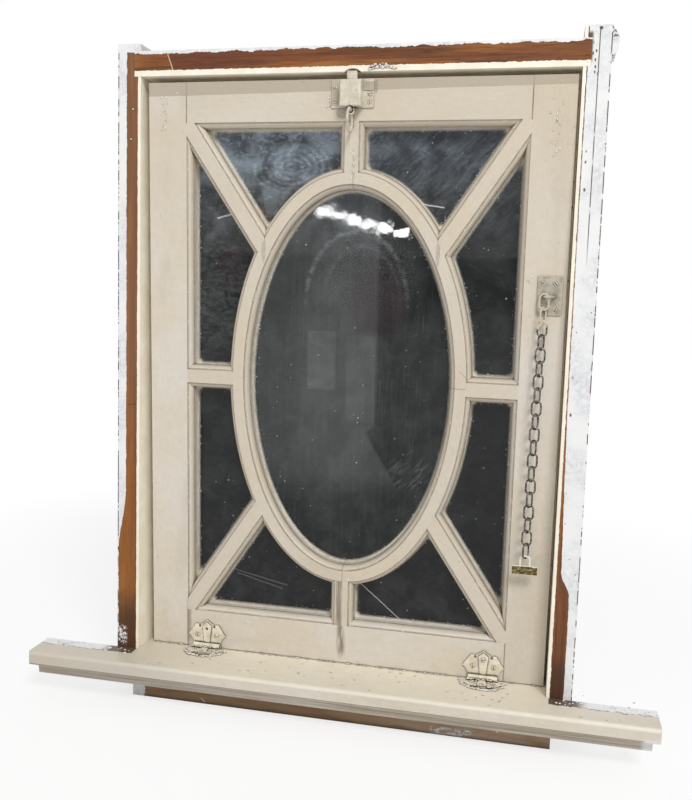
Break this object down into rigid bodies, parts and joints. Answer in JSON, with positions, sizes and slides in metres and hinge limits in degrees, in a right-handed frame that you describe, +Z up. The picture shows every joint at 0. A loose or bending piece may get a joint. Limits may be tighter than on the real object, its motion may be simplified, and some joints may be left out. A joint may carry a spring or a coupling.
{
  "type": "bottom hung timber window with oval centre light",
  "caption": "Bottom-hung timber window tilted into the room: oval centre light with eight lights round it, jamb frame, stool, sill, fan hinges, spring catch and stay chain.",
  "frame": {"origin": "middle of the sill's underside, halfway between the jambs and between the room face and the nose of the sill", "axes": "+X to the right as seen from the room, +Y out through the wall, +Z up"},
  "size_m": [0.9305, 0.228, 0.9945],
  "materials": {
    "painted_wood": "aged cream paint",
    "bare_wood": "old varnish with paint at the edges",
    "glass": "plain, dirty",
    "painted_metal": "aged cream paint",
    "dark_steel": "tarnished",
    "brass": "dull"
  },
  "bodies": {
    "window": {"bar_bottom": "painted_wood", "bar_left": "painted_wood", "bar_lower_left": "painted_wood", "bar_lower_right": "painted_wood", "bar_right": "painted_wood", "bar_top": "painted_wood", "bar_upper_left": "painted_wood", "bar_upper_right": "painted_wood", "catch_case": "painted_metal", "chain": "dark_steel", "chain_end_plate": "brass", "chain_plate": "painted_metal", "chain_staple": "painted_metal", "head": "bare_wood", "hinge_left_lower_leaf": "painted_metal", "hinge_left_upper_leaf": "painted_metal", "hinge_pins": "painted_metal", "hinge_right_lower_leaf": "painted_metal", "hinge_right_upper_leaf": "painted_metal", "jamb_left": "bare_wood", "jamb_right": "bare_wood", "pane_left_lower": "glass", "pane_left_upper": "glass", "pane_lower_left": "glass", "pane_lower_right": "glass", "pane_oval": "glass", "pane_right_lower": "glass", "pane_right_upper": "glass", "pane_upper_left": "glass", "pane_upper_right": "glass", "rail_bottom": "painted_wood", "rail_top": "painted_wood", "ring_lower_left": "painted_wood", "ring_lower_right": "painted_wood", "ring_upper_left": "painted_wood", "ring_upper_right": "painted_wood", "sill": "bare_wood", "stile_left": "painted_wood", "stile_right": "painted_wood", "stool": "painted_wood", "stop_left": "bare_wood", "stop_right": "bare_wood", "stop_top": "bare_wood"},
    "bolt": {"catch_bolt": "painted_metal"},
    "ring": {"catch_ring": "painted_metal"}
  },
  "joints": [
    {"name": "bolt_slide", "type": "slide", "parent": "window", "child": "bolt", "axis": [0, -0.0349, 0.9994], "range_m": [-0.01, 0], "stiffness_N_per_m": 400, "springref_m": 0.01},
    {"name": "ring_swing", "type": "hinge", "parent": "bolt", "child": "ring", "pos_m": [0.003, -0.08738, 0.88946], "axis": [0, -0.9994, -0.0349], "range_deg": [-60, 60]}
  ]
}
